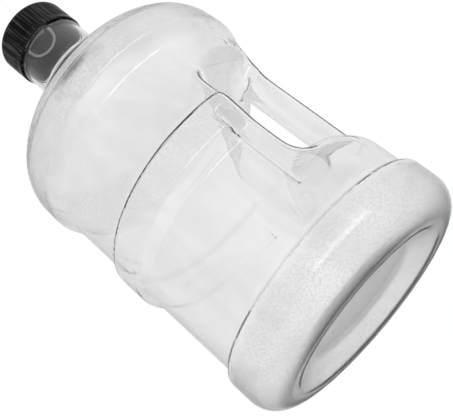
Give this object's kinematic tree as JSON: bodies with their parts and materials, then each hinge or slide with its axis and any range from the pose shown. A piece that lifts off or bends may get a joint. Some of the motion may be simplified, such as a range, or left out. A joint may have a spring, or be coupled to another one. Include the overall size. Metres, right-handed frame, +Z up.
{
  "type": "water jug",
  "caption": "Clear blow-moulded one gallon water jug with a moulded-in side handle, banded body and a ribbed black screw cap with a sealing disc.",
  "frame": {"origin": "centre of the foot, on the surface the jug stands on, under the neck axis", "axes": "+Z up along the neck axis, +X towards the handle"},
  "size_m": [0.162, 0.162, 0.303],
  "materials": {
    "clear_plastic": "clear, glossy, blow-moulded",
    "cap_plastic": "black, moulded, slightly glossy",
    "liner_foam": "smooth closed-cell foam"
  },
  "bodies": {
    "jug": {"bottle": "clear_plastic"},
    "seal": {"liner": "liner_foam"},
    "closure": {"cap": "cap_plastic"}
  },
  "joints": [
    {"name": "cap_lift", "type": "slide", "parent": "jug", "child": "seal", "axis": [0, 0, 1], "range_m": [0, 0.0053]},
    {"name": "cap_turn", "type": "hinge", "parent": "seal", "child": "closure", "pos_m": [0, 0, 0.3014], "axis": [0, 0, 1], "range_deg": [0, 450]}
  ],
  "couplings": [
    {"joint": "cap_lift", "follows": "cap_turn", "m_per_rad": 0.00067375}
  ]
}
